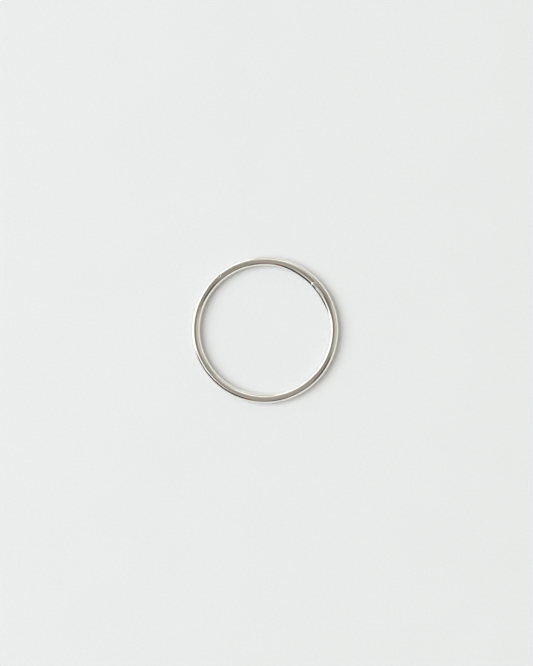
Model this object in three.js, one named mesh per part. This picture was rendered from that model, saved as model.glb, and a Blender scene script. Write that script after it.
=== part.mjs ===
// A plain stacking ring: one round silver wire, bent to a circle and soldered into one piece.
// Millimetres, +Z up. The ring lies on its side: the axis of the finger hole is Z, and the
// underside of the wire rests at Z = 0.

import * as THREE from 'three';
import { mergeVertices } from 'three/addons/utils/BufferGeometryUtils.js';

// ---- driving dimensions, in millimetres and degrees ----

const FINGER_HOLE_DIAMETER = 17.3; // US size 7
const WIRE_DIAMETER = 1.2;

// The solder joint. Azimuth runs from +X towards +Y. The tilt of a place round the wire is 0 at
// the top of the wire and 90 at the finger hole. The wire is fuller along the joint, where solder
// was run over it: the swelling rises and falls slowly along the ring. Its shoulder was filed a
// little flatter, and the last of the solder stands in a low ridge across it.
const SOLDER = { start: 4, full: 26, fullTo: 50, end: 84, tilt: 66, spread: 57, height: 0.11 };
const FILED_FLAT = { from: 30, to: 43, fade: 0.8, tilt: 24, depth: 0.01 };
const RIDGE = { azimuth: 43.5, reach: 3, tilt: 48, spread: 36, height: 0.06 };

// ---- how finely the round shapes are faceted ----

const WIRE_SIDES = 20; // a flat side lies at the bottom, the top, the hole and the outside
const RING_STEPS = 120;

// ---- sizes that follow ----

const WIRE_RADIUS = WIRE_DIAMETER / 2;
const RING_RADIUS = (FINGER_HOLE_DIAMETER + WIRE_DIAMETER) / 2; // to the middle of the wire

// The wire's section, centred WIRE_RADIUS above the ground at the ring's radius. Its flat sides
// touch the true circle, so the width and height over the flats are the wire's diameter.
function wireSection() {
  const cornerRadius = WIRE_RADIUS / Math.cos(Math.PI / WIRE_SIDES);
  const points = [];
  for (let side = 0; side <= WIRE_SIDES; side += 1) {
    const angle = ((side % WIRE_SIDES) + 0.5) * (2 * Math.PI / WIRE_SIDES);
    const across = RING_RADIUS + cornerRadius * Math.cos(angle);
    const up = WIRE_RADIUS + cornerRadius * Math.sin(angle);
    points.push(new THREE.Vector2(across, up));
  }
  return points;
}

// The section turned about the finger axis, with its doubled seam points merged into one skin.
function plainRing() {
  const ring = new THREE.LatheGeometry(wireSection(), RING_STEPS);
  ring.rotateX(Math.PI / 2);
  ring.deleteAttribute('normal');
  ring.deleteAttribute('uv');
  return mergeVertices(ring);
}

// 0 outside a stretch, 1 inside it, and a smooth ramp at each end.
function inStretch(value, start, full, fullTo, end) {
  const rise = THREE.MathUtils.smoothstep(value, start, full);
  const fall = 1 - THREE.MathUtils.smoothstep(value, fullTo, end);
  return rise * fall;
}

// A rounded hump: 1 at the middle and 0 from reach outwards.
function hump(value, middle, reach) {
  const away = Math.min(Math.abs(value - middle) / reach, 1);
  return (1 + Math.cos(Math.PI * away)) / 2;
}

// How far the full swelling stands off the wire at a tilt.
function swelling(tilt) {
  return SOLDER.height * hump(tilt, SOLDER.tilt, SOLDER.spread);
}

// The plane of the filed flat lies this far from the middle of the wire.
function flatDistance() {
  let highest = 0;
  for (let tilt = 0; tilt < SOLDER.tilt; tilt += 1) {
    const across = THREE.MathUtils.degToRad(tilt - FILED_FLAT.tilt);
    highest = Math.max(highest, (WIRE_RADIUS + swelling(tilt)) * Math.cos(across));
  }
  return highest - FILED_FLAT.depth;
}

// Every point is moved within its own section of the wire: first out by the solder, then back to
// the plane of the filed flat where it stands above that plane, then out again by the ridge.
function finishSolderJoint(geometry) {
  const flatTilt = THREE.MathUtils.degToRad(FILED_FLAT.tilt);
  const flatNormal = new THREE.Vector2(-Math.sin(flatTilt), Math.cos(flatTilt));
  const flatAway = flatDistance();
  const position = geometry.getAttribute('position');
  for (let i = 0; i < position.count; i += 1) {
    const x = position.getX(i);
    const y = position.getY(i);
    const azimuth = THREE.MathUtils.radToDeg(Math.atan2(y, x));
    const radius = Math.hypot(x, y);
    const place = new THREE.Vector2(radius - RING_RADIUS, position.getZ(i) - WIRE_RADIUS);
    const tilt = THREE.MathUtils.radToDeg(Math.atan2(-place.x, place.y));

    const { start, full, fullTo, end } = SOLDER;
    place.setLength(place.length() + inStretch(azimuth, start, full, fullTo, end) * swelling(tilt));

    const { from, to, fade } = FILED_FLAT;
    const filed = inStretch(azimuth, from - fade, from, to, to + fade);
    const proud = Math.max(place.dot(flatNormal) - flatAway, 0);
    place.addScaledVector(flatNormal, -filed * proud);

    const ridge = RIDGE.height
      * hump(azimuth, RIDGE.azimuth, RIDGE.reach)
      * hump(tilt, RIDGE.tilt, RIDGE.spread);
    place.setLength(place.length() + ridge);

    const moved = (RING_RADIUS + place.x) / radius;
    position.setXYZ(i, x * moved, y * moved, WIRE_RADIUS + place.y);
  }
}

// ---- the ring ----

const silver = new THREE.MeshStandardMaterial({
  name: 'silver',
  color: 0xdedad0,
  roughness: 0.12,
  metalness: 1,
});

const bandGeometry = plainRing();
finishSolderJoint(bandGeometry);
bandGeometry.computeVertexNormals();

const band = new THREE.Mesh(bandGeometry, silver);
band.name = 'band';

const stackingRing = new THREE.Group();
stackingRing.name = 'stacking_ring';
stackingRing.add(band);

export default stackingRing;
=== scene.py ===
# %% [markdown]
# # A plain silver stacking ring
# The ring is one round wire of silver, 1.2 mm thick, bent to a circle and soldered shut. It lies
# on a sheet of white paper beside a window. It has no stone and no pattern, so all of its looks
# are in three things: a true round section, a bright polish that shows the room, and the small
# marks of making and wear: the filed solder joint, a nick, a dent, a faint tarnish and polish
# lines.

# %% [markdown]
# ## The frame
# The ring's size is settled already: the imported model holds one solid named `band`. It is loaded
# first, and its box gives the wire's thickness and the ring's radius. Nothing below repeats
# those sizes as numbers of its own, so the fine ring fits the solid with no adjusting.

# %% Load the frame and measure the ring
import math

import bpy
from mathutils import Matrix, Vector


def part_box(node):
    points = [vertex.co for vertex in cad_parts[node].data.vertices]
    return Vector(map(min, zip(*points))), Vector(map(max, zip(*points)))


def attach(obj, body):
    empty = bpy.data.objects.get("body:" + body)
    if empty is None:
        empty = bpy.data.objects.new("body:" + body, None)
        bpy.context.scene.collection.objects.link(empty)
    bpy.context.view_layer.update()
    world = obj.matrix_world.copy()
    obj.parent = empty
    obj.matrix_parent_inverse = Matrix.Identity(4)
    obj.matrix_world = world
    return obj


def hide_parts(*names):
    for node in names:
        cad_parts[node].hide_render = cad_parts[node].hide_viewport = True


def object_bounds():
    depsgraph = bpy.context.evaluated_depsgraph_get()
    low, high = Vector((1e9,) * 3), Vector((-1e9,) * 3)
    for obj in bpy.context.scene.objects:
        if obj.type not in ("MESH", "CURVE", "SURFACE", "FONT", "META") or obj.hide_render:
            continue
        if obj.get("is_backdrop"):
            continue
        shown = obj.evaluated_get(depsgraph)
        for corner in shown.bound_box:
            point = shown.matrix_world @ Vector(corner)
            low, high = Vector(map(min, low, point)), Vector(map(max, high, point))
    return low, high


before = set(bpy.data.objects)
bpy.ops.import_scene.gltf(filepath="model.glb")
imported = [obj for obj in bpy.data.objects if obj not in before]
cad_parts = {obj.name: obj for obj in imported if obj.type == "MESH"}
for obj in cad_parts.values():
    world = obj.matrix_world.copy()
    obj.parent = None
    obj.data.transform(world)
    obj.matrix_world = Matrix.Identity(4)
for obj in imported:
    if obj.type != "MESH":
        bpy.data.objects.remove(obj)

MM = 0.001
cad_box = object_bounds()
band_low, band_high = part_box("band")
wire_radius = (band_high.z - band_low.z) / 2
ring_radius = band_high.x - wire_radius
wire_height = band_low.z + wire_radius
print(f"wire {2 * wire_radius / MM:.2f} mm, bent to a radius of {ring_radius / MM:.2f} mm")

# %% [markdown]
# ## The camera
# The ring is seen from almost straight above. A long lens keeps the circle a circle, and a lean
# of six degrees towards the viewer shows a little more of the inner wall on the far side. The
# distance follows from the lens, the sensor and the stretch of paper that the picture takes in.

# %% Set up the camera
LENS = 100 * MM
SENSOR = 36 * MM
PAPER_IN_VIEW = 89.0 * MM
NEAREST_IN_VIEW = 10 * MM
CAMERA_ELEVATION = math.radians(84)
AIM_RIGHT = 0.23 * MM
AIM_UP = -0.44 * MM


def aim_camera():
    """Places the camera on the ring's centre, moved a little so that the ring sits off centre."""
    bpy.ops.object.camera_add()
    camera = bpy.context.object
    camera.name = "camera"
    camera.data.lens = LENS / MM
    camera.data.sensor_width = SENSOR / MM
    camera.data.clip_start = NEAREST_IN_VIEW
    back = Vector((0, -math.cos(CAMERA_ELEVATION), math.sin(CAMERA_ELEVATION)))
    up = Vector((0, math.sin(CAMERA_ELEVATION), math.cos(CAMERA_ELEVATION)))
    aim = Vector((AIM_RIGHT, 0, wire_height)) + AIM_UP * up
    camera.location = aim + back * (PAPER_IN_VIEW * LENS / SENSOR)
    camera.rotation_euler = back.to_track_quat("Z", "Y").to_euler()
    bpy.context.scene.camera = camera
    return camera


camera = aim_camera()
print(f"the camera is {camera.location.length / MM:.0f} mm from the ring")

# %% [markdown]
# ## The wire
# A ring like this could start as a torus, but a goldsmith starts with a straight round wire and
# bends it, and this does the same: one circle is drawn where the wire is cut, and swept once
# round the finger. The spin operator could sweep it, but it slows down with every step, so a
# Screw modifier with no rise does the sweep at once and is then applied. Each ring of points
# lies in one cut of the wire, so every later step can be given in the two numbers that a maker
# would use: how far round the ring, and how far round the wire.

# %% Draw the wire's section and sweep it round the finger
SECTION_POINTS = 96
SWEEP_STEPS = 960
WELD = 0.001 * MM


def deselect_all():
    for item in bpy.context.selected_objects:
        item.select_set(False)


def make_active(piece):
    deselect_all()
    piece.select_set(True)
    bpy.context.view_layer.objects.active = piece


def apply_all_modifiers(piece):
    make_active(piece)
    for modifier in list(piece.modifiers):
        bpy.ops.object.modifier_apply(modifier=modifier.name)


def bend_wire(name):
    """Sweeps a circle of wire round the finger axis, welds its ends and turns its faces out."""
    deselect_all()
    bpy.ops.mesh.primitive_circle_add(
        vertices=SECTION_POINTS,
        radius=wire_radius,
        location=(ring_radius, 0, wire_height),
        rotation=(math.pi / 2, 0, 0),
    )
    wire = bpy.context.object
    wire.name = name
    wire.data.name = name
    bpy.ops.object.transform_apply(location=True, rotation=True, scale=True)
    sweep = wire.modifiers.new("bend", "SCREW")
    sweep.axis = "Z"
    sweep.angle = 2 * math.pi
    sweep.steps = SWEEP_STEPS
    sweep.render_steps = SWEEP_STEPS
    sweep.use_merge_vertices = True
    sweep.merge_threshold = WELD
    apply_all_modifiers(wire)
    bpy.ops.object.mode_set(mode="EDIT")
    bpy.ops.mesh.select_all(action="SELECT")
    bpy.ops.mesh.normals_make_consistent(inside=False)
    bpy.ops.object.mode_set(mode="OBJECT")
    return wire


ring = bend_wire("silver_band")
print(f"the bent wire has {len(ring.data.vertices)} points and {len(ring.data.polygons)} faces")

# %% [markdown]
# ## Finding a place on the wire
# Every mark below sits at an azimuth round the ring, which starts at +X and runs towards +Y,
# and at a tilt round the wire, which is 0 at the top, 90 towards the finger and 180 below. A
# vertex group holds how strongly a mark works on each point. Its weights could be painted by
# hand, but worked out from the two angles they stay smooth, and a mark is moved by one number.

# %% Work out azimuth and tilt for every point
LEAST_WEIGHT = 0.001


def azimuth_of(point):
    return math.degrees(math.atan2(point.y, point.x))


def tilt_of(point):
    inward = ring_radius - math.hypot(point.x, point.y)
    return math.degrees(math.atan2(inward, point.z - wire_height))


def smooth_step(value, start, end):
    share = min(max((value - start) / (end - start), 0), 1)
    return share * share * (3 - 2 * share)


def in_stretch(value, start, full, full_to, end):
    """0 outside a stretch and 1 in its middle, with a smooth ramp at each end."""
    return smooth_step(value, start, full) * (1 - smooth_step(value, full_to, end))


def hump(distance, reach):
    """1 at no distance, falling smoothly to 0 at reach."""
    return (1 + math.cos(math.pi * min(abs(distance) / reach, 1))) / 2


def weigh(piece, name, weight_at):
    """Makes a vertex group whose weights come from a function of azimuth and tilt."""
    group = piece.vertex_groups.new(name=name)
    touched = 0
    for vertex in piece.data.vertices:
        weight = weight_at(azimuth_of(vertex.co), tilt_of(vertex.co))
        if weight > LEAST_WEIGHT:
            group.add([vertex.index], weight, "REPLACE")
            touched += 1
    print(f"{name} takes in {touched} points")


# %% [markdown]
# ## The solder at the joint
# Solder was run into the joint and the wire stayed a little fuller there, on the side of the
# finger where a file reaches badly. It could be a separate lump, but soldered metal is one
# piece, so the skin of the wire is pushed out by a Displace modifier, and a vertex group holds
# the shape of the swelling. It rises and falls so slowly that only the reflections show it. In
# its middle the shoulder is full: a flat face meets a straight wall towards the finger, and the
# corner between them draws a thin dark line along the inside of the ring.

# %% Raise the solder
SOLDER_STRETCH = (4, 26, 50, 84)  # azimuths: starts, full, full to, ends
SOLDER_TILT = 66
SOLDER_SPREAD = 60
SOLDER_HEIGHT = 0.11 * MM
SHOULDER_STRETCH = (11, 29, 54, 80)
FACE_FROM = 48
FACE_NORMAL = 37
WALL_TO = 150
WALL_RISE = 0.075 * MM
EDGE_ROUNDING = 0.008 * MM
HIGHEST_SOLDER = 0.2 * MM  # the height that a weight of 1 stands for


def raise_skin(piece, group, height):
    """Moves a vertex group out of the skin by height, or into it where height is negative."""
    displace = piece.modifiers.new(group, "DISPLACE")
    displace.vertex_group = group
    displace.mid_level = 0
    displace.strength = height
    displace.direction = "NORMAL"


def rounded_fill(tilt):
    """The wire's radius at a tilt, with solder run over it in a rounded swelling."""
    return wire_radius + SOLDER_HEIGHT * hump(tilt - SOLDER_TILT, SOLDER_SPREAD)


def square_fill(tilt):
    """The same with a full shoulder: a flat face above, a straight wall towards the finger."""
    if tilt < FACE_FROM or tilt > WALL_TO:
        return rounded_fill(tilt)
    wall = (wire_radius + WALL_RISE) / math.sin(math.radians(tilt))
    if tilt > 90:
        return min(rounded_fill(tilt), wall)
    touch = rounded_fill(FACE_FROM) * math.cos(math.radians(FACE_FROM - FACE_NORMAL))
    face = touch / math.cos(math.radians(tilt - FACE_NORMAL))
    near_edge = max(1 - abs(face - wall) / EDGE_ROUNDING, 0)
    return min(face, wall) - EDGE_ROUNDING * near_edge * near_edge / 4


def solder(azimuth, tilt):
    full = in_stretch(azimuth, *SHOULDER_STRETCH)
    radius = (1 - full) * rounded_fill(tilt) + full * square_fill(tilt)
    return in_stretch(azimuth, *SOLDER_STRETCH) * (radius - wire_radius) / HIGHEST_SOLDER


weigh(ring, "solder", solder)
raise_skin(ring, "solder", HIGHEST_SOLDER)
apply_all_modifiers(ring)

# %% [markdown]
# ## The filed flat
# The joint was then cleaned up with a file, which left a narrow flat on the upper inner
# shoulder. The flat follows the circle, so it is a strip of a cone. A Boolean with a cone would
# cut it, but leaves long thin faces that spoil a polished reflection. Instead a cone stands in
# for the file, and a Shrinkwrap modifier pushes every point inside that cone out onto its side.

# %% File the flat with a cone
FLAT_FROM = 30
FLAT_TO = 43
FLAT_FADE = 0.8
FLAT_TILT = 24
FLAT_DEPTH = 0.010 * MM
FILE_CONE_SIDES = 1440
FILE_CONE_REACH = 0.5  # how far past the flat the cone goes on, as a share of its radius there


def file_cone():
    """A solid cone, point down, whose side lies on the plane of the flat."""
    tilt = math.radians(FLAT_TILT)
    proud = max(rounded_fill(t) * math.cos(math.radians(t) - tilt) for t in range(FACE_FROM))
    touch = proud - FLAT_DEPTH
    touch_radius = ring_radius - touch * math.sin(tilt)
    touch_height = wire_height + touch * math.cos(tilt)
    slope = math.tan(tilt)
    wide = touch_radius * (1 + FILE_CONE_REACH)
    point_height = touch_height - touch_radius * slope
    deselect_all()
    bpy.ops.mesh.primitive_cone_add(
        vertices=FILE_CONE_SIDES,
        radius1=0,
        radius2=wide,
        depth=wide * slope,
        location=(0, 0, point_height + wide * slope / 2),
    )
    return bpy.context.object


def press_outside(piece, tool, group):
    wrap = piece.modifiers.new(group, "SHRINKWRAP")
    wrap.target = tool
    wrap.vertex_group = group
    wrap.wrap_method = "NEAREST_SURFACEPOINT"
    wrap.wrap_mode = "OUTSIDE"


def filed(azimuth, tilt):
    return in_stretch(azimuth, FLAT_FROM - FLAT_FADE, FLAT_FROM, FLAT_TO, FLAT_TO + FLAT_FADE)


file_tool = file_cone()
weigh(ring, "filed_flat", filed)
press_outside(ring, file_tool, "filed_flat")
apply_all_modifiers(ring)
bpy.data.objects.remove(file_tool)
print(f"the flat runs over {FLAT_TO - FLAT_FROM} degrees, {FLAT_DEPTH / MM:.3f} mm deep")

# %% [markdown]
# ## The ridge at the end of the flat
# The file stopped where the last of the solder had set, and left a narrow ridge across the
# shoulder, with a low foot on the side of the finger. Its steep end catches one bright point of
# light. Sculpting could raise it, but all small marks of this ring have one shape, a rounded
# hump that may be steeper at one end, so one function makes each of them from a few numbers.

# %% Raise the ridge
# name, azimuth, reach before and after it, tilt, reach round the wire, slant, height in mm
RIDGE_MARKS = (
    ("solder_ridge", 43.2, 5.5, 1.8, 38, 46, 0, 0.080),
    ("ridge_foot", 38.5, 5, 6, 64, 26, 0, 0.030),
)


def raise_mark(piece, name, middle, before, after, tilt_middle, reach, slant, height):
    """A small hump, or a hollow where height is negative; slant is degrees round per tilt."""
    def weight_at(azimuth, tilt):
        distance = azimuth - middle - slant * tilt
        lengthwise = hump(distance, before if distance < 0 else after)
        return lengthwise * hump(tilt - tilt_middle, reach)

    weigh(piece, name, weight_at)
    raise_skin(piece, name, height * MM)


for mark in RIDGE_MARKS:
    raise_mark(ring, *mark)
apply_all_modifiers(ring)

# %% [markdown]
# ## Signs of the hand
# Wire that was bent by hand, soldered and polished isn't a perfect torus: its reflections wander
# a little. Two Displace modifiers with a Clouds texture do that, one with a wavelength of a few
# millimetres and one much finer and fainter. They fade out towards the underside, so the ring
# still lies on the paper. Two knocks in the soft silver are made like the ridge, but downwards: a
# small nick that cuts slantwise over the top of the wire, and a very shallow dent two
# millimetres away from it.

# %% Make the wire slightly uneven and knock it
WANDER = (("slow_wander", 3.2, 0.045), ("quick_wander", 1.1, 0.010))  # wavelength, swing in mm
WANDER_FADE = (100, 165)
KNOCKS = (  # in the same columns as the ridge
    ("nick", 130.9, 2.0, 2.6, -4, 26, 0.05, -0.068),
    ("dent", 117.6, 2.6, 2.6, -8, 34, 0, -0.012),
)


def off_the_paper(azimuth, tilt):
    return 1 - smooth_step(abs(tilt), *WANDER_FADE)


for name, wavelength, swing in WANDER:
    clouds = bpy.data.textures.new(name, "CLOUDS")
    clouds.noise_scale = wavelength * MM
    clouds.noise_depth = 1
    weigh(ring, name, off_the_paper)
    raise_skin(ring, name, swing * MM)
    ring.modifiers[name].texture = clouds
    ring.modifiers[name].mid_level = 0.5
for mark in KNOCKS:
    raise_mark(ring, *mark)
apply_all_modifiers(ring)

# %% [markdown]
# ## Onto the frame
# The finished wire takes the place of the frame's `band` and rides on the one body there is. It
# is shaded smooth all over, because a polished wire has no edge; the flat and the nick are small
# and rounded enough to keep their shape without one.

# %% Finish the mesh and put it in the frame
make_active(ring)
bpy.ops.object.shade_smooth()
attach(ring, "root")
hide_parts("band")
heights = [vertex.co.z for vertex in ring.data.vertices]
print(f"the ring stands from {min(heights) / MM:.3f} to {max(heights) / MM:.3f} mm")

# %% [markdown]
# ## Nodes in one line each
# A material is a tree of nodes. The silver takes dozens, and added one by one each would need
# four or five lines. So a small class holds a tree and adds the kinds used here in one line
# each: a sum, a smooth ramp, a noise. Each value may be a number or the output of another node.

# %% Write short ways to add nodes
class Nodes:
    """Short ways to add nodes to one node tree."""

    def __init__(self, tree):
        self.tree = tree

    def add(self, kind, **settings):
        node = self.tree.nodes.new(kind)
        for name, value in settings.items():
            setattr(node, name, value)
        return node

    def feed(self, socket, value):
        if isinstance(value, bpy.types.NodeSocket):
            self.tree.links.new(value, socket)
        else:
            socket.default_value = value

    def maths(self, operation, *values):
        node = self.add("ShaderNodeMath", operation=operation)
        for socket, value in zip(node.inputs, values):
            self.feed(socket, value)
        return node.outputs[0]

    def ramp(self, value, start, end, low=0.0, high=1.0):
        """A smooth ramp of value between start and end, which may run downwards."""
        node = self.add("ShaderNodeMapRange", interpolation_type="SMOOTHSTEP")
        for name, given in (("Value", value), ("From Min", start), ("From Max", end),
                            ("To Min", low), ("To Max", high)):
            self.feed(node.inputs[name], given)
        return node.outputs["Result"]

    def noise(self, place, fourth, scale, detail, roughness=0.5):
        node = self.add("ShaderNodeTexNoise", noise_dimensions="4D")
        self.feed(node.inputs["Vector"], place)
        self.feed(node.inputs["W"], fourth)
        node.inputs["Scale"].default_value = scale
        node.inputs["Detail"].default_value = detail
        node.inputs["Roughness"].default_value = roughness
        return node.outputs["Fac"]

    def vector(self, x, y, z):
        node = self.add("ShaderNodeCombineXYZ")
        for socket, value in zip(node.inputs, (x, y, z)):
            self.feed(socket, value)
        return node.outputs[0]

    def blend(self, share, first, second):
        """The first colour where share is 0, the second where it is 1."""
        node = self.add("ShaderNodeMix", data_type="RGBA")
        for name, given in (("Factor", share), ("A", first), ("B", second)):
            self.feed(node.inputs[name], given)
        return node.outputs["Result"]


# %% [markdown]
# ## The silver and its patterns
# Polished sterling silver is a clear mirror with a faint warm tint. What keeps it from looking
# like chrome is small: lines of the last polish round the wire, duller patches, a satin flat and
# two faint brownish places. An image wrapped round the wire could hold them, but each belongs to
# a place on the wire, so the material turns Object coordinates into azimuth and tilt and works
# them out from those. The noise reads the cosine and sine of both, which closes without a seam.

# %% Start the silver and find the place on the wire
def place_on_wire(nodes):
    """Azimuth and tilt in degrees, and their cosines and sines, from Object coordinates."""
    coordinates = nodes.add("ShaderNodeTexCoord")
    split = nodes.add("ShaderNodeSeparateXYZ")
    nodes.feed(split.inputs[0], coordinates.outputs["Object"])
    x, y, z = split.outputs
    radius = nodes.maths("SQRT", nodes.maths("ADD", nodes.maths("MULTIPLY", x, x),
                                             nodes.maths("MULTIPLY", y, y)))
    azimuth = nodes.maths("ARCTAN2", y, x)
    inward = nodes.maths("SUBTRACT", ring_radius, radius)
    upward = nodes.maths("SUBTRACT", z, wire_height)
    tilt = nodes.maths("ARCTAN2", inward, upward)
    return {
        "azimuth": nodes.maths("DEGREES", azimuth),
        "tilt": nodes.maths("DEGREES", tilt),
        "east": nodes.maths("COSINE", azimuth),
        "north": nodes.maths("SINE", azimuth),
        "up": nodes.maths("COSINE", tilt),
        "in": nodes.maths("SINE", tilt),
    }


silver = bpy.data.materials.new("silver")
silver.use_nodes = True
silver_shader = silver.node_tree.nodes["Principled BSDF"]
silver_shader.inputs["Metallic"].default_value = 1
nodes = Nodes(silver.node_tree)
wire = place_on_wire(nodes)
print(f"a place on the wire is given by {', '.join(wire)}")

# %% Lay out the polish lines and the patches
LINE_PITCH = (3.0, 14.0)  # slow along the wire, quick across it
LINE_NOISE = (3.0, 4, 0.65)  # scale, detail, roughness
PATCH_NOISE = (0.8, 3)
MOTTLE_NOISE = (2.6, 4, 0.6)

along, across = LINE_PITCH
line_place = nodes.vector(nodes.maths("MULTIPLY", wire["east"], along),
                          nodes.maths("MULTIPLY", wire["north"], along),
                          nodes.maths("MULTIPLY", wire["up"], across))
polish_lines = nodes.noise(line_place, nodes.maths("MULTIPLY", wire["in"], across), *LINE_NOISE)

ring_to_wire = ring_radius / wire_radius  # makes a patch as long as it is wide
patch_place = nodes.vector(nodes.maths("MULTIPLY", wire["east"], ring_to_wire),
                           nodes.maths("MULTIPLY", wire["north"], ring_to_wire), wire["up"])
patches = nodes.noise(patch_place, wire["in"], *PATCH_NOISE)
mottle = nodes.noise(patch_place, wire["in"], *MOTTLE_NOISE)
print(f"the patches' noise moves {ring_to_wire:.1f} times faster with azimuth than with tilt")

# %% [markdown]
# ## The tint of the silver
# Two places are a little brown. Beside the joint the torch oxidised the copper in the silver,
# which jewellers call fire stain, and the top of the wire near the nick has begun to tarnish.
# Each is a stretch of the wire, given by its azimuths and tilts and mottled by the noise, and
# together they mix a brown into the silver's own colour. Painting them would do too, but a
# stretch given in degrees can be moved without painting it again.

# %% Tint the silver
SILVER = (0.955, 0.935, 0.885, 1)
FIRE_STAIN = (0.66, 0.60, 0.52, 1)
# where a stretch starts, ends and how softly, in degrees: round the ring, then round the wire
STAINED = ((23, 29, 7), (-28, 8, 16))
TARNISHED = ((108, 134, 12), (-8, 14, 9))
MOTTLED = (0.38, 0.62)  # the noise from which the brown deepens, and where it is deepest
STAIN_STRENGTH = (0.25, 1.0)
TARNISH_STRENGTH = (0.30, 0.55)


def band_mask(nodes, value, start, end, soft):
    """1 from start to end, fading over the soft width outside them."""
    rise = nodes.ramp(value, start - soft, start)
    fall = nodes.ramp(value, end, end + soft, 1.0, 0.0)
    return nodes.maths("MULTIPLY", rise, fall)


def stretch_mask(nodes, wire, azimuths, tilts):
    return nodes.maths("MULTIPLY", band_mask(nodes, wire["azimuth"], *azimuths),
                       band_mask(nodes, wire["tilt"], *tilts))


stain = nodes.maths("MULTIPLY", stretch_mask(nodes, wire, *STAINED),
                    nodes.ramp(mottle, *MOTTLED, *STAIN_STRENGTH))
tarnish = nodes.maths("MULTIPLY", stretch_mask(nodes, wire, *TARNISHED),
                      nodes.ramp(mottle, *MOTTLED, *TARNISH_STRENGTH))
brown = nodes.maths("MAXIMUM", stain, tarnish)
nodes.feed(silver_shader.inputs["Base Color"], nodes.blend(brown, SILVER, FIRE_STAIN))
for name, (azimuths, tilts) in (("fire stain", STAINED), ("tarnish", TARNISHED)):
    print(f"{name} at {azimuths[0]} to {azimuths[1]} degrees, tilt {tilts[0]} to {tilts[1]}")

# %% [markdown]
# ## The polish
# A polished wire is nearly a mirror, and its roughness tells where hands and tools have been:
# handled patches and the polish lines are a little duller, the solder was polished more softly,
# and the flat kept the satin of the file, coarser where the file was set down. All of them add
# to one roughness. The polish lines also stand up by a thousandth of a millimetre or two, too
# little for the mesh, so a Bump node stands in for their height.

# %% Polish the silver
SATIN = ((FLAT_FROM, FLAT_TO - 1, 1), (21, 44, 7))
SOFTLY_POLISHED = ((28, 66, 14), (4, 95, 10))
# each pair of noise values or azimuths goes with a pair of roughnesses, and a ramp joins them
PATCHED = (0.35, 0.70)
PATCH_ROUGHNESS = (0.025, 0.05)
LINED = (0.45, 0.75)
LINE_ROUGHNESS = (0.0, 0.03)
FILE_STROKE = (33.0, 38.0)
FILE_ROUGHNESS = (0.42, 0.20)
STAIN_ROUGHNESS = 0.18
SOFT_POLISH_ROUGHNESS = 0.06
LINE_DEPTH = 0.0015 * MM

file_marks = nodes.ramp(wire["azimuth"], *FILE_STROKE, *FILE_ROUGHNESS)
roughness = nodes.ramp(patches, *PATCHED, *PATCH_ROUGHNESS)
for duller in (
    nodes.ramp(polish_lines, *LINED, *LINE_ROUGHNESS),
    nodes.maths("MULTIPLY", stretch_mask(nodes, wire, *SATIN), file_marks),
    nodes.maths("MULTIPLY", stain, STAIN_ROUGHNESS),
    nodes.maths("MULTIPLY", stretch_mask(nodes, wire, *SOFTLY_POLISHED), SOFT_POLISH_ROUGHNESS),
):
    roughness = nodes.maths("ADD", roughness, duller)
nodes.feed(silver_shader.inputs["Roughness"], roughness)

bump = nodes.add("ShaderNodeBump")
bump.inputs["Strength"].default_value = 1.0
bump.inputs["Distance"].default_value = LINE_DEPTH
nodes.feed(bump.inputs["Height"], polish_lines)
nodes.feed(silver_shader.inputs["Normal"], bump.outputs["Normal"])
ring.data.materials.append(silver)
print(f"the silver takes {len(silver.node_tree.nodes)} nodes")

# %% [markdown]
# ## The paper
# The ring lies on smooth white drawing paper. A sheet of its real size would end inside a low
# view, so a wide round disc stands for it, large enough to be nearly all that the silver
# reflects below the horizon. With one flat colour it would look like plastic. So its colour
# carries two noises, the faint cloudiness of pressed pulp and a fine grain, and it is rough and
# nearly without gloss.

# %% Lay the paper
PAPER_REACH = 350 * MM
PAPER_SIDES = 128
PAPER_ROUGHNESS = 0.9
PAPER_GLOSS = 0.2
PAPER_DARK = (0.70, 0.715, 0.708, 1)
PAPER_LIGHT = (1.0, 1.0, 1.0, 1)
PAPER_SHADE = 0.5  # halfway between the two
PULP_NOISE = (0.0, 90.0, 3, 0.5)  # fourth coordinate, scale, detail, roughness
PULP_RAMP = (0.3, 0.7, -0.012, 0.012)
GRAIN_NOISE = (4.0, 2600.0, 2, 0.6)
GRAIN_RAMP = (0.25, 0.75, -0.04, 0.04)

deselect_all()
bpy.ops.mesh.primitive_circle_add(vertices=PAPER_SIDES, radius=PAPER_REACH, fill_type="NGON")
paper_sheet = bpy.context.object
paper_sheet.name = "paper_floor"
paper_sheet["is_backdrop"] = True
paper = bpy.data.materials.new("paper")
paper.use_nodes = True
paper_shader = paper.node_tree.nodes["Principled BSDF"]
paper_shader.inputs["Roughness"].default_value = PAPER_ROUGHNESS
paper_shader.inputs["Specular IOR Level"].default_value = PAPER_GLOSS
nodes = Nodes(paper.node_tree)
coordinates = nodes.add("ShaderNodeTexCoord")
pulp = nodes.noise(coordinates.outputs["Object"], *PULP_NOISE)
grain = nodes.noise(coordinates.outputs["Object"], *GRAIN_NOISE)
shade = nodes.maths("ADD", nodes.ramp(pulp, *PULP_RAMP), nodes.ramp(grain, *GRAIN_RAMP))
shade = nodes.maths("ADD", shade, PAPER_SHADE)
nodes.feed(paper_shader.inputs["Base Color"], nodes.blend(shade, PAPER_DARK, PAPER_LIGHT))
paper_sheet.data.materials.append(paper)
print(f"the paper reaches {PAPER_REACH / MM:.0f} mm from the ring's centre")

# %% [markdown]
# ## The room
# A polished wire shows nothing but its room, so the room is built as soft-edged panels on the
# world, each with a place, a size and a colour: windows to the left and top, a pale wall to the
# right, and the dark shapes of the person and the things on the near side. Mesh panels with
# emission would do as well, but would have to be hidden from every other view. A panel lies over
# those listed before it, and one node group makes them all, so each is one row of the list.

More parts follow.
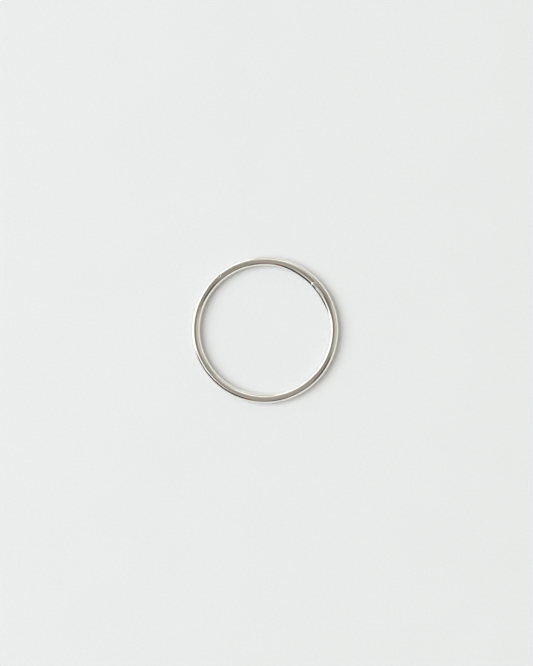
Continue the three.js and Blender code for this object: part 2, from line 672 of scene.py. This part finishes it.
# %% List what stands round the ring
ROOM = (0.345, 0.314, 0.267)
PANELS = (
    # name, colour, strength, then in degrees: azimuth, half width, elevation, half height, edge
    ("overhead_near", (1.00, 0.95, 0.87), 0.37, 292, 45, 74, 10, 6),
    ("overhead_dark", (1.00, 0.95, 0.87), 0.165, 156, 46, 74.5, 9.5, 6),
    ("overhead_grey", (1.00, 0.95, 0.87), 0.24, 207, 12, 76, 8, 6),
    ("ceiling", (1.00, 0.96, 0.88), 0.50, 70, 32, 67, 9, 6),
    ("overhead_right", (1.00, 0.955, 0.885), 0.285, 42, 48, 78.5, 5.5, 5),
    ("overhead_gap", (1.00, 0.955, 0.885), 0.35, 117, 17, 78.5, 4, 4),
    ("right_side", (1.00, 0.95, 0.86), 0.62, 15, 22, 48, 15, 8),
    ("right_low", (1.00, 0.95, 0.86), 0.85, 22, 55, 2, 16, 8),
    ("top_corner", (1.00, 0.98, 0.92), 0.66, 62, 12, 22, 30, 6),
    ("top_wall", (1.00, 1.00, 0.96), 1.05, 83, 16, 34, 15, 8),
    ("window_end", (1.00, 1.00, 0.96), 0.48, 112, 16, 48, 14, 6),
    ("window_low", (1.00, 1.00, 1.00), 1.27, 146, 48, 14, 23, 6),
    ("window_high", (0.99, 1.00, 1.02), 1.27, 165, 32, 32, 21, 5),
    ("skylight", (0.96, 1.00, 1.03), 1.15, 207, 17, 47, 13, 6),
    ("skylight_edge", (0.97, 1.00, 1.00), 0.75, 229, 9, 49, 12, 6),
    ("skylight_end", (0.98, 1.00, 1.00), 0.50, 245, 11, 57, 8, 6),
    ("maker_shoulder", (1.00, 0.92, 0.84), 0.05, 205, 12, 2, 27, 5),
    ("maker_body", (1.00, 0.84, 0.82), 0.05, 235, 23, 8, 33, 4),
    ("orange_cup", (1.00, 0.36, 0.20), 0.40, 253.5, 1.8, 30, 12, 1.5),
    ("near_edge_left", (1.00, 0.92, 0.84), 0.19, 274, 14, 18, 9, 5),
    ("near_edge", (1.00, 0.92, 0.84), 0.125, 304, 30, 23.5, 13.5, 5),
    ("near_paper", (1.00, 0.97, 0.92), 1.15, 318, 30, 0, 9, 5),
    ("dark_lamp", (1.00, 0.90, 0.80), 0.08, 332, 11, 42, 16, 4),
    ("dark_lamp_arm", (1.00, 0.90, 0.80), 0.12, 345, 7, 57, 8, 5),
    ("grey_gap", (1.00, 0.96, 0.90), 0.34, 43, 6, 52, 22, 5),
)
print(f"{len(PANELS)} panels stand round the ring")

# %% Build the group that makes one panel
PANEL_SIZES = ("Azimuth", "Half Width", "Elevation", "Half Height", "Soft Edge")
HALF_TURN = 180.0


def room_panel_group():
    """A soft-edged panel in the room: its place is an azimuth and an elevation, in degrees."""
    group = bpy.data.node_groups.new("room_panel", "ShaderNodeTree")
    face = group.interface
    face.new_socket("Behind", in_out="INPUT", socket_type="NodeSocketColor")
    face.new_socket("Colour", in_out="INPUT", socket_type="NodeSocketColor")
    for name in PANEL_SIZES:
        face.new_socket(name, in_out="INPUT", socket_type="NodeSocketFloat")
    face.new_socket("Colour", in_out="OUTPUT", socket_type="NodeSocketColor")
    nodes = Nodes(group)
    given = nodes.add("NodeGroupInput").outputs
    result = nodes.add("NodeGroupOutput")
    direction = nodes.add("ShaderNodeTexCoord")
    split = nodes.add("ShaderNodeSeparateXYZ")
    nodes.feed(split.inputs[0], direction.outputs["Generated"])
    x, y, z = split.outputs
    azimuth = nodes.maths("DEGREES", nodes.maths("ARCTAN2", y, x))
    turn = nodes.maths("WRAP", nodes.maths("SUBTRACT", azimuth, given["Azimuth"]),
                       HALF_TURN, -HALF_TURN)
    lift = nodes.maths("SUBTRACT", nodes.maths("DEGREES", nodes.maths("ARCSINE", z)),
                       given["Elevation"])
    outside = nodes.maths("MULTIPLY", given["Soft Edge"], -1.0)

    def inside(distance, half_size):
        past_edge = nodes.maths("SUBTRACT", nodes.maths("ABSOLUTE", distance), half_size)
        return nodes.ramp(past_edge, outside, given["Soft Edge"], 1.0, 0.0)

    mask = nodes.maths("MULTIPLY", inside(turn, given["Half Width"]),
                       inside(lift, given["Half Height"]))
    nodes.feed(result.inputs["Colour"], nodes.blend(mask, given["Behind"], given["Colour"]))
    return group


panel_group = room_panel_group()
print(f"one panel takes {len(panel_group.nodes)} nodes")

# %% Put the panels up one over another
world = bpy.data.worlds.new("room")
bpy.context.scene.world = world
world.use_nodes = True
world.node_tree.nodes.clear()
nodes = Nodes(world.node_tree)
room = (*ROOM, 1)
for name, tint, strength, *sizes in PANELS:
    panel = nodes.add("ShaderNodeGroup", node_tree=panel_group, name=name)
    nodes.feed(panel.inputs["Behind"], room)
    nodes.feed(panel.inputs["Colour"], (*(strength * part for part in tint), 1))
    for socket, size in zip(PANEL_SIZES, sizes):
        panel.inputs[socket].default_value = size
    room = panel.outputs["Colour"]
print(f"{panel.name} lies over all the others")

# %% [markdown]
# ## The light from all round
# The panels are as bright as the silver has to show them. The same panels could light the paper
# too, but its shadows would then change with every panel. So only reflections see them. The
# paper gets an even, slightly warm light from all round, and the camera sees a plain pale
# horizon past the paper's edge. The Light Path node tells these rays apart.

# %% Give each kind of ray its own surroundings
AMBIENT = (0.485, 0.464, 0.420)
HORIZON = (0.86, 0.87, 0.86)

ray = nodes.add("ShaderNodeLightPath")


def background(tint):
    node = nodes.add("ShaderNodeBackground")
    nodes.feed(node.inputs["Color"], tint)
    return node.outputs[0]


def choose(ray_kind, otherwise, chosen):
    mix = nodes.add("ShaderNodeMixShader")
    for socket, value in zip(mix.inputs, (ray.outputs[ray_kind], otherwise, chosen)):
        nodes.feed(socket, value)
    return mix.outputs[0]


seen = choose("Is Glossy Ray", background((*AMBIENT, 1)), background(room))
seen = choose("Is Camera Ray", seen, background((*HORIZON, 1)))
nodes.feed(nodes.add("ShaderNodeOutputWorld").inputs["Surface"], seen)
print(f"the world takes {len(world.node_tree.nodes)} nodes")

# %% [markdown]
# ## The light that throws the shadow
# A round area light stands for the window, 1.8 metres across and 2 metres away. A point light
# would draw a second, sharp ring on the paper. A light as wide as a window makes the shadow dark
# only where the wire touches the paper, and gone within one wire's width and a half. It is a
# little cool, to balance the warm light from all round, and reflections don't see it. The
# colours are shown by the Standard view, because the usual one would turn white paper grey.

# %% Hang the window light
KEY_AZIMUTH = math.radians(175)
KEY_ELEVATION = math.radians(48)
KEY_AWAY = 2.0  # metres, as the width is
KEY_WIDTH = 1.83
KEY_RADIANCE = 4.27
KEY_TINT = (0.876, 0.930, 1.0)

direction = Vector((
    math.cos(KEY_AZIMUTH) * math.cos(KEY_ELEVATION),
    math.sin(KEY_AZIMUTH) * math.cos(KEY_ELEVATION),
    math.sin(KEY_ELEVATION),
))
bpy.ops.object.light_add(type="AREA", location=direction * KEY_AWAY)
key = bpy.context.object
key.name = "window_light"
key.data.shape = "DISK"
key.data.size = KEY_WIDTH
key.data.color = KEY_TINT
key.data.energy = KEY_RADIANCE * math.pi * math.pi * (KEY_WIDTH / 2) ** 2
key.rotation_euler = direction.to_track_quat("Z", "Y").to_euler()
key.visible_camera = False
key.visible_glossy = False
bpy.context.scene.view_settings.view_transform = "Standard"
print(f"the window light gives {key.data.energy:.1f} watts")

# %% [markdown]
# ## Finish
# The two boxes, of the imported solid and of the whole fine ring, are printed one after the other,
# so that they show whether the fine ring kept the size of the solid.

# %% Print the sizes and finish
boxes = {"cad": cad_box, "visual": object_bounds()}
for name, (lowest, highest) in boxes.items():
    size = highest - lowest
    print(f"{name} box {size.x / MM:.2f} x {size.y / MM:.2f} x {size.z / MM:.2f} mm")
